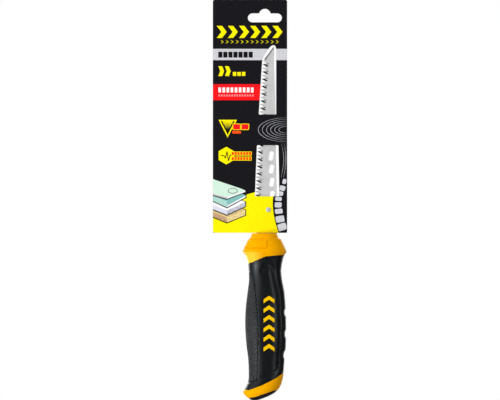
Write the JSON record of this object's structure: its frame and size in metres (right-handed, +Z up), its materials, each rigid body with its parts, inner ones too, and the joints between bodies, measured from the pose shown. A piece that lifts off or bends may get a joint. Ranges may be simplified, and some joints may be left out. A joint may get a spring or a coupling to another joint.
{
  "type": "drywall saw",
  "caption": "Jab saw for drywall with a pointed toothed blade and a soft-grip handle, hanging in a printed card sleeve with a hang slot.",
  "frame": {"origin": "peg seat: the top of the notch above the card's hang slot, midway between the card's two outer faces", "axes": "+Z up along the saw from the butt to the blade's tip, -Y out of the printed front of the card, teeth facing -X; the saw hangs blade up in its card, as on a shop peg"},
  "size_m": [0.065, 0.0316, 0.3509],
  "materials": {
    "blade_steel": "bright rolled steel plate with ground teeth",
    "core_plastic": "amber moulded plastic, satin to glossy",
    "grip_rubber": "black soft moulded rubber, satin",
    "pad_rubber": "dark grey rubber with a fine diamond texture, matt",
    "badge_plastic": "yellow plastic marks, satin",
    "card_print": "printed board, mostly black with grey, yellow and red fields, semi-gloss",
    "card_board": "pale uncoated board with white cut edges",
    "tack_metal": "pale grey satin metal"
  },
  "bodies": {
    "card": {"card_front": "card_print", "card_back": "card_board", "tack_front": "tack_metal", "tack_back": "tack_metal"},
    "saw": {"blade": "blade_steel", "handle_core": "core_plastic", "grip": "grip_rubber", "finger_pad": "pad_rubber", "badge": "badge_plastic", "butt_pad": "grip_rubber"}
  },
  "joints": [
    {"name": "blade_draw", "type": "slide", "parent": "card", "child": "saw", "axis": [0, 0, -1], "range_m": [0, 0.17]}
  ]
}
